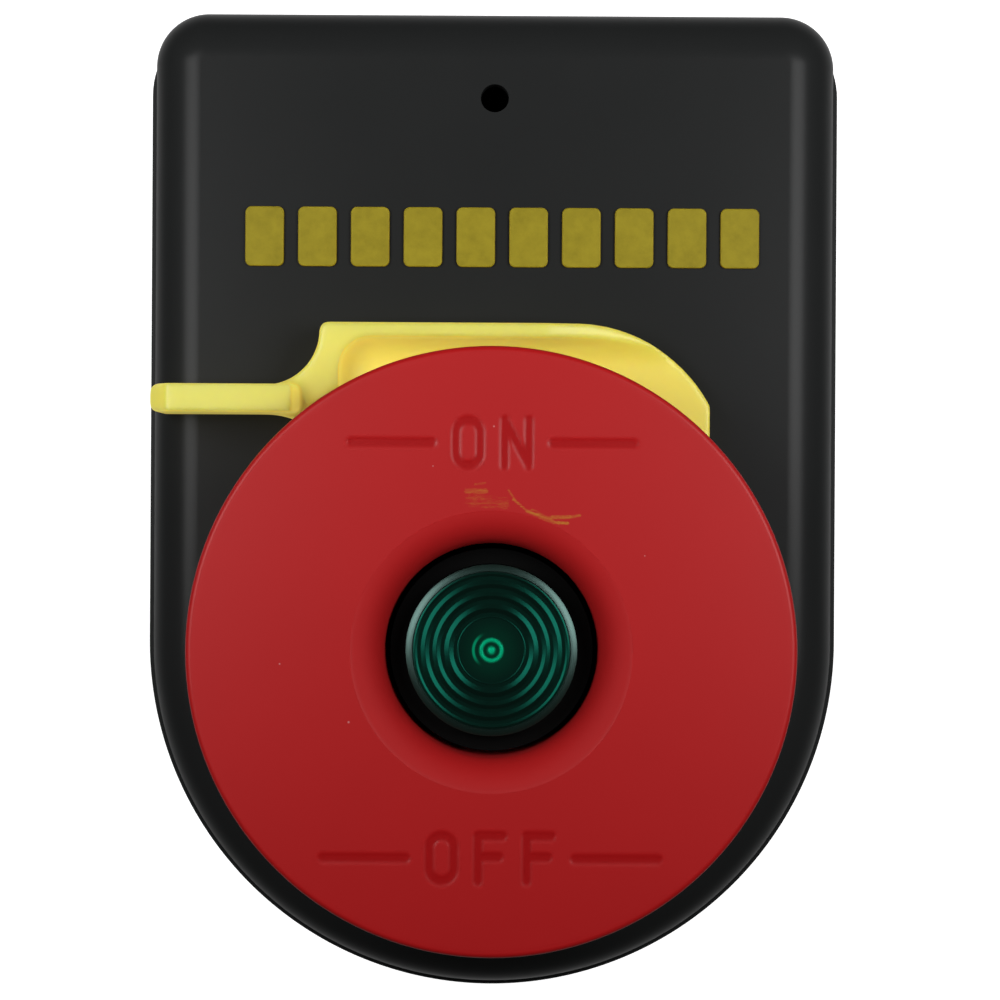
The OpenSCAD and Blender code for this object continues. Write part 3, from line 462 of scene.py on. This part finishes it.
marked = add(tree, "Math", {0: mark.outputs["Fac"], 1: fibre.outputs[0]}, operation="MULTIPLY")
worn = add(tree, "MapRange", {0: marked.outputs[0], 1: 0.27, 2: 0.7, 4: 0.75})
skin = add(tree, "Mix", {0: worn.outputs[0], 6: red_with_painted_stroke_shade.outputs[2], 7: colour("#b98a24")},
           data_type="RGBA")
# Specks, as (x, y, radius)
for x, y, r in [(-29.6, -1.8, 0.16), (-19.9, -9.9, 0.2), (0.2, 31.6, 0.17), (-8.3, 26.0, 0.12),
                (21.4, 13.6, 0.12)]:
    away = add(tree, "VectorMath", {0: where, 1: (x * MM, y * MM, paddle_z * MM)}, operation="DISTANCE")
    near = add(tree, "MapRange", {0: away.outputs["Value"], 1: r * MM, 2: 0.4 * r * MM, 4: 0.45})
    skin = add(tree, "Mix", {0: near.outputs[0], 6: skin.outputs[2], 7: colour("#d8a0a0")},
               data_type="RGBA")
gloss = add(tree, "MapRange", {0: letter.outputs["Fac"], 3: 0.42, 4: 0.3})
dull = add(tree, "Attribute", attribute_name="in_funnel")
gloss = add(tree, "MapRange", {0: dull.outputs["Fac"], 3: gloss.outputs[0], 4: 0.68})
grain = add(tree, "TexNoise", {"Vector": where, "Scale": 1 / (0.3 * MM), "Detail": 2.0})
bump = add(tree, "Bump", {"Height": grain.outputs[0], "Strength": 1.0, "Distance": 0.004 * MM})
tree.links.new(skin.outputs[2], shader.inputs["Base Color"])
tree.links.new(gloss.outputs[0], shader.inputs["Roughness"])
tree.links.new(bump.outputs[0], shader.inputs["Normal"])
shader.inputs["Specular IOR Level"].default_value = 0.25
smooth(paddle, paddle_red)
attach(paddle, "paddle_body")
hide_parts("paddle")

rib_half, rib_h, guide_half, guide_out = 0.8, 3.4, 1.5, 1.6
ribs = solid("paddle_ribs", *[
    spoke(hub_r - 1, paddle_r - paddle_t + 1, rib_half, under - rib_h, under + 0.5, 30 + 60 * i)
    for i in range(6)], spoke(hole_r + 1.5, hub_r + guide_out, guide_half, hub_end + 2, under, 180))
smooth(ribs, paddle_red)
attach(ribs, "paddle_body")


# Safety key. A yellow polypropylene moulding: a forked plate under the paddle, a raised rim along
# its top edge, and a fin for the finger. A fine remesh rounds every edge as the tool does.
key = bpy.data.objects.new("key_moulding", frame["nodes"]["safety_key"].data.copy())
bpy.context.scene.collection.objects.link(key)
weld = key.modifiers.new("weld", "WELD")
weld.merge_threshold = 0.002 * MM
cells = key.modifiers.new("cells", "REMESH")
cells.mode, cells.voxel_size = "VOXEL", 0.36 * MM
soft = key.modifiers.new("soft", "SMOOTH")
soft.factor, soft.iterations = 0.5, 8
settle(key)

key_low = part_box("safety_key")[0].z
# Thin polypropylene lets light into it, drawn with subsurface scattering: milky edges. Its colour carries
# painted light and shade: top faces painted a little paler, the sides and hollow a deeper, warmer yellow
key_yellow, tree, shader, where = empty_material("polypropylene_yellow")
place = add(tree, "SeparateXYZ", {0: where})
up = add(tree, "SeparateXYZ", {0: add(tree, "NewGeometry").outputs["Normal"]}).outputs[2]
shallow = add(tree, "MapRange", {0: place.outputs[2], 1: key_low + 3.5 * MM, 2: key_low + 8.5 * MM})
facing = add(tree, "MapRange", {0: up, 1: 0.3, 2: 0.95})
painted_light_level = add(tree, "Math", {0: shallow.outputs[0], 1: facing.outputs[0]}, operation="MULTIPLY")
base = add(tree, "Mix", {0: painted_light_level.outputs[0], 6: colour("#ecd34c"), 7: colour("#ece264")}, data_type="RGBA")
tree.links.new(base.outputs[2], shader.inputs["Base Color"])
shader.inputs["Roughness"].default_value = 0.42
shader.inputs["Subsurface Weight"].default_value = 0.8
shader.inputs["Subsurface Radius"].default_value = (1.0, 0.85, 0.3)
shader.inputs["Subsurface Scale"].default_value = 6 * MM
# Painted light: an emission lifts the hollow and the sides, stronger towards the left end (-X) than the
# right
through = add(tree, "MapRange", {0: place.outputs[0], 1: -30 * MM, 2: 35 * MM, 3: 0.34, 4: 0.12})
shade = add(tree, "MapRange", {0: painted_light_level.outputs[0], 3: through.outputs[0], 4: 0.0})
tree.links.new(shade.outputs[0], shader.inputs["Emission Strength"])
shader.inputs["Emission Color"].default_value = colour("#fff07a")
key.data.materials.clear()
key.data.materials.append(key_yellow)
key.data.shade_smooth()
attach(key, "key_body")
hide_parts("safety_key")


# Lens. A cap moulded in dark clear green acrylic, pushed into the lamp tube. Round ridges with the
# section of a roof stand in its face inside a rounded rim, and the lamp's light is painted on it as a dot
# and a ring.
lens_low, lens_high = (v.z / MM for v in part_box("lens"))
lens_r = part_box("lens")[1].x / MM
lens_wall, lens_t, lens_edge, rim_arc = 1.4, 2.0, 0.95, 3.4
ridge_slope, ridge_radii = 0.33, np.array([4.75, 6.02, 7.78, 9.42, 10.86])
ridge_halves = np.array([0.12, 0.66, 0.56, 0.6, 0.36])
face_sink, dot_r, ring_r, part_ring_r = 0.3, 0.55, 1.45, 2.55
arc = np.radians(np.linspace(24, 8, 13))
drop = rim_arc * (1 - np.cos(arc))
outer = list(zip(lens_r - lens_edge + rim_arc * (np.sin(arc) - np.sin(arc[-1])), lens_high - drop))
radii = np.arange(lens_r - lens_edge, 0, -0.04)[1:]
to_foot = ridge_halves - np.abs(radii[:, None] - ridge_radii)
ridges = ridge_slope * np.clip(to_foot, 0, ridge_halves - 0.03).max(axis=1)
dome = 0.25 * np.sqrt(np.clip(1 - (radii / 0.6) ** 2, 0, 1))
dome += 0.2 * np.sqrt(np.clip(1 - ((radii - ring_r) / 0.3) ** 2, 0, 1))
face = list(zip(radii, lens_high - face_sink + ridges + dome))
inner_r, inner_top = lens_r - lens_wall, lens_high - lens_t
profile = [(lens_r, lens_low), *outer, *face, (0.02, inner_top), (inner_r, inner_top), (inner_r, lens_low)]
verts, faces = lathe(profile, np.linspace(0, 2 * np.pi, 144, endpoint=False))
reach = np.linalg.norm(verts[:, :2], axis=1)
top = verts[:, 2] > lens_high - 1
under_face = np.clip((lens_r - lens_edge - 0.1 - reach) / 0.1, 0, 1) * top
# Painted light of the lamp under the face, as soft bands in the base colour: a dot, a ring round it and
# part of a second ring on the left
from_left = np.arctan2(verts[:, 1], -verts[:, 0])
glow = np.exp(-(reach / dot_r) ** 4) + 0.8 * np.exp(-((reach - ring_r) / 0.3) ** 4)
glow += 0.55 * np.exp(-((reach - part_ring_r) / 0.2) ** 4) * np.exp(-((from_left - 0.1) / 0.75) ** 4)
glow = np.where(top, glow + 0.03 * np.exp(-(reach / 3.6) ** 4), 0)
lens = with_values(solid("lens_moulding", (verts, faces)), under_face=under_face, glow=glow)

# Clear acrylic over a dark lamp: nearly black in its depth, green where a ridge mirrors a lamp, with the
# lamp's light painted into its base colour
acrylic_green, tree, shader, _ = empty_material("acrylic_green_clear")
inner = add(tree, "Attribute", attribute_name="under_face")
lit = add(tree, "Attribute", attribute_name="glow")
body = add(tree, "Mix", {0: lit.outputs["Fac"], 6: colour("#07130f"), 7: colour("#05ae7a")},
           data_type="RGBA")
tint = add(tree, "Mix", {0: inner.outputs["Fac"], 6: colour("#b4e4da"), 7: colour("#1fb89a")},
           data_type="RGBA")
tree.links.new(body.outputs[2], shader.inputs["Base Color"])
polish = add(tree, "MapRange", {0: inner.outputs["Fac"], 3: 0.3, 4: 0.28})
mirror = add(tree, "MapRange", {0: inner.outputs["Fac"], 3: 1.0, 4: 0.66})
tree.links.new(mirror.outputs[0], shader.inputs["Specular IOR Level"])
tree.links.new(tint.outputs[2], shader.inputs["Specular Tint"])
tree.links.new(polish.outputs[0], shader.inputs["Roughness"])
shader.inputs["IOR"].default_value = 1.49
smooth(lens, acrylic_green, 60)
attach(lens, "housing")
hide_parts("lens")


# Springs. Round steel wire wound into coils with dead ends. Two centre the paddle, two open the
# contactor and one lifts the reset plunger.
def metal(name, base, roughness, grain_mm=0.5):
    """Plated or bare metal: a fine noise varies the roughness, as handling and plating leave it."""
    material, tree, shader, where = empty_material(name)
    fine = add(tree, "TexNoise", {"Vector": where, "Scale": 1 / (grain_mm * MM), "Detail": 3.0})
    rough = add(tree, "MapRange", {0: fine.outputs[0], 3: roughness - 0.08, 4: roughness + 0.08})
    tree.links.new(rough.outputs[0], shader.inputs["Roughness"])
    shader.inputs["Base Color"].default_value = colour(base)
    shader.inputs["Metallic"].default_value = 1.0
    return material


def wound(centre, radius, wire, low, high, turns, sides=10, per_turn=40):
    """Closed tube along a helix round an upright axis: half a turn at each end lies flat, and the
    rest climbs evenly from low to high."""
    step = np.arange(turns * per_turn + 1) / (turns * per_turn)
    angle = 2 * np.pi * turns * step
    rise = np.clip((step * turns - 0.5) / (turns - 1), 0, 1)
    side = 2 * np.pi * np.arange(sides) / sides
    away = radius + wire * np.cos(side)[None]
    x = centre[0] + away * np.cos(angle)[:, None]
    y = centre[1] + away * np.sin(angle)[:, None]
    z = (low + wire + (high - low - 2 * wire) * rise)[:, None] + wire * np.sin(side)[None]
    verts = np.stack([x, y, z], -1).reshape(-1, 3)
    rows = len(step)
    faces = [face[::-1] for face in grid_faces(rows, sides, False)]
    faces += [list(range(sides)), list(range((rows - 1) * sides, rows * sides))[::-1]]
    return verts, faces


# Drawn spring wire: bright, with a short clean highlight on every coil
spring_steel = metal("steel_drawn_bright", "#b4b6b8", 0.3, 0.3)


def spring(name, node, turns, wire, places=((0, 0),)):
    """Coils in the room of a CAD spring, which is hidden in their place."""
    low, high = (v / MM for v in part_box(node))
    radius = (high.x - low.x - (places[-1][0] - places[0][0])) / 2 - wire
    piece = solid(name, *[wound(p, radius, wire, low.z, high.z, turns) for p in places])
    smooth(piece, spring_steel, 60)
    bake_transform(piece)
    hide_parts(node)


spring("pull_coil", "pull_spring", 4, 0.6)
spring("push_coil", "push_spring", 3, 0.6)
spring("armature_coils", "armature_springs", 5, 0.35, ((-14.5, 2), (14.5, 2)))
spring("reset_coil", "reset_spring", 6, 0.35, ((0, port_y),))


# Devices and small parts. The contactor, relay, contacts, lamp, gasket, magnet and screws keep their
# CAD shapes. They are moulded, stamped, wound, ground or plated, as the name of each finish says.
finishes = {
    "gasket_rubber": moulded_plastic("rubber_black", "#151515", "#1b1b1b", 0.75, 0.5, 0.01),
    "zinc_steel": metal("steel_zinc_plated", "#b9bbbd", 0.35),
    "contact_brass": metal("brass_stamped", "#c8a24e", 0.32),
    "device_grey": moulded_plastic("polyamide_grey", "#474b4e", "#505457", 0.5, 0.4, 0.01),
    "core_steel": metal("steel_laminations", "#85898c", 0.45),
    "carrier_ivory": moulded_plastic("polyamide_ivory", "#ded6c2", "#d5cdb8", 0.45, 0.4, 0.006),
    "coil_copper": metal("copper_enamelled", "#b06a3a", 0.4),
    "dial_orange": moulded_plastic("polyamide_orange", "#d9741a", "#cf6a14", 0.4, 0.4, 0.006),
    # Painted shade: the lamp's black is drawn far darker than black ABS, so that the deep ring round the
    # lens stays black
    "lamp_black": moulded_plastic("abs_black_painted_shade", "#050505", "#070707", 0.7, 0.3, 0.003, 0.04),
    "board_green": moulded_plastic("board_resist", "#125a30", "#0f5029", 0.35, 0.6, 0.004),
    "led_clear": moulded_plastic("epoxy_pale", "#bfe8c8", "#b4dfbe", 0.15, 0.6, 0.001),
    "magnet_grey": metal("ferrite_ground", "#5a5a5c", 0.5),
}
for row in frame["record"]["subparts"]:
    if row["material_slot"] in finishes:
        mesh = frame["nodes"][row["node"]].data
        mesh.materials.clear()
        mesh.materials.append(finishes[row["material_slot"]])


# Studio. A white table under a white backdrop, two soft boxes left and right of the camera, and the
# camera straight above, as the photograph was taken. The full white is for the camera's own rays,
# and only a faint rest of it lights the object.
table_half = 3000
floor = solid("table", slab(-table_half, table_half, -table_half, table_half, -20, 0))
table_white, tree, shader, _ = empty_material("table_white")
shader.inputs["Base Color"].default_value = colour("#cfcfcf")
shader.inputs["Roughness"].default_value = 0.9
path = add(tree, "LightPath")
seen = add(tree, "Math", {0: path.outputs["Is Camera Ray"], 1: path.outputs["Is Transmission Ray"]},
           operation="ADD")
seen = add(tree, "Math", {0: seen.outputs[0], 1: 0.9}, operation="MULTIPLY")
seen = add(tree, "Math", {0: path.outputs["Is Glossy Ray"], 1: 0.05, 2: seen.outputs[0]},
           operation="MULTIPLY_ADD")
tree.links.new(seen.outputs[0], shader.inputs["Emission Strength"])
shader.inputs["Emission Color"].default_value = (1, 1, 1, 1)
floor.data.materials.append(table_white)


def soft_box(name, place, target, size, watts):
    """Rectangular area light at a place in millimetres, turned to face the target."""
    lamp = bpy.data.lights.new(name, "AREA")
    lamp.shape, lamp.size, lamp.size_y, lamp.energy = "RECTANGLE", size[0] * MM, size[1] * MM, watts
    lamp.spread = np.radians(120)
    holder = bpy.data.objects.new(name, lamp)
    bpy.context.scene.collection.objects.link(holder)
    away = Vector(place) - Vector(target)
    holder.location = Vector(place) * MM
    holder.rotation_euler = away.to_track_quat("Z", "Y").to_euler()


soft_box("soft_box_left", (-176, 84, 334), (-60, 112, 0), (172, 155), 0.3)
soft_box("soft_box_right", (182, 84, 334), (60, 112, 0), (172, 155), 0.34)
world = bpy.data.worlds.new("studio")
world.use_nodes = True
tree, backdrop = world.node_tree, world.node_tree.nodes["Background"]
path = add(tree, "LightPath")
seen = add(tree, "Math", {0: path.outputs["Is Camera Ray"], 1: path.outputs["Is Transmission Ray"]},
           operation="ADD")
strength = add(tree, "MapRange", {0: seen.outputs[0], 3: 0.04, 4: 1.0})
tree.links.new(strength.outputs[0], backdrop.inputs["Strength"])
backdrop.inputs["Color"].default_value = (1, 1, 1, 1)
bpy.context.scene.world = world

# The camera stands 0.42 m above the paddle's face, a little off its axis
camera_data = bpy.data.cameras.new("camera")
camera_data.sensor_width, camera_data.lens = 36.0, 108.1
camera_data.clip_end = 10.0
camera = bpy.data.objects.new("camera", camera_data)
camera.location = (1.1 * MM, 21.3 * MM, 524 * MM)
camera.rotation_euler = (0, 0, np.radians(0.33))
bpy.context.scene.collection.objects.link(camera)
bpy.context.scene.camera = camera
bpy.context.scene.view_settings.view_transform = "Standard"
